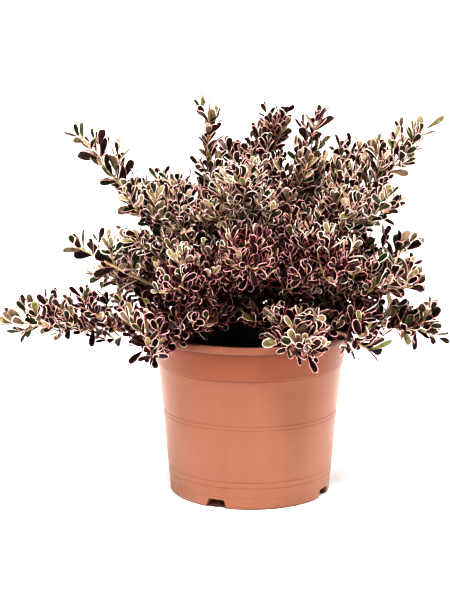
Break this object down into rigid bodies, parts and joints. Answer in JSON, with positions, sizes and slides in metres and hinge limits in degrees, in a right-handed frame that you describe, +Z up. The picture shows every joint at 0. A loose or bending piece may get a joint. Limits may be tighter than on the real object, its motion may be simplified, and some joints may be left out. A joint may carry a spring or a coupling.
{
  "type": "potted shrub",
  "caption": "Low spreading potted shrub: small variegated leaves on short boughs from one stem, in a tapered plastic nursery pot with a deep rim band.",
  "frame": {"origin": "middle of the pot's flat underside", "axes": "+Z up along the pot's axis, +X towards the plant's right as seen from its front, -Y towards the front"},
  "size_m": [0.4153, 0.3101, 0.3791],
  "materials": {
    "pot": "matte",
    "soil": "matte",
    "bark": "matte",
    "leaf": "satin"
  },
  "bodies": {
    "root": {"pot": "pot", "soil": "soil", "trunk": "bark", "bough_low_left": "bark", "bough_front_left_low": "bark", "bough_left_shoot": "bark", "bough_left_low": "bark", "bough_upper_left_long": "bark", "bough_upper_left_short": "bark", "bough_left_side": "bark", "bough_top_left": "bark", "bough_top_mid": "bark", "bough_top_right_shoot": "bark", "bough_top_right_mid": "bark", "bough_upper_right_long": "bark", "bough_right_mid": "bark", "bough_right_shoot": "bark", "bough_right_low": "bark", "bough_low_right": "bark", "bough_over_rim_right": "bark", "bough_front_low_right": "bark", "bough_front_right": "bark", "bough_front_mid": "bark", "bough_front_left": "bark", "bough_top_front": "bark", "bough_back_low_left": "bark", "bough_back_left": "bark", "bough_back_low_mid": "bark", "bough_back_mid": "bark", "bough_back_low_right": "bark", "bough_back_right": "bark", "foliage_low_left": "leaf", "foliage_front_left_low": "leaf", "foliage_left_shoot": "leaf", "foliage_left_low": "leaf", "foliage_upper_left_long": "leaf", "foliage_upper_left_short": "leaf", "foliage_left_side": "leaf", "foliage_top_left": "leaf", "foliage_top_mid": "leaf", "foliage_top_right_shoot": "leaf", "foliage_top_right_mid": "leaf", "foliage_upper_right_long": "leaf", "foliage_right_mid": "leaf", "foliage_right_shoot": "leaf", "foliage_right_low": "leaf", "foliage_low_right": "leaf", "foliage_over_rim_right": "leaf", "foliage_front_low_right": "leaf", "foliage_front_right": "leaf", "foliage_front_mid": "leaf", "foliage_front_left": "leaf", "foliage_top_front": "leaf", "foliage_back_low_left": "leaf", "foliage_back_left": "leaf", "foliage_back_low_mid": "leaf", "foliage_back_mid": "leaf", "foliage_back_low_right": "leaf", "foliage_back_right": "leaf"}
  },
  "joints": []
}
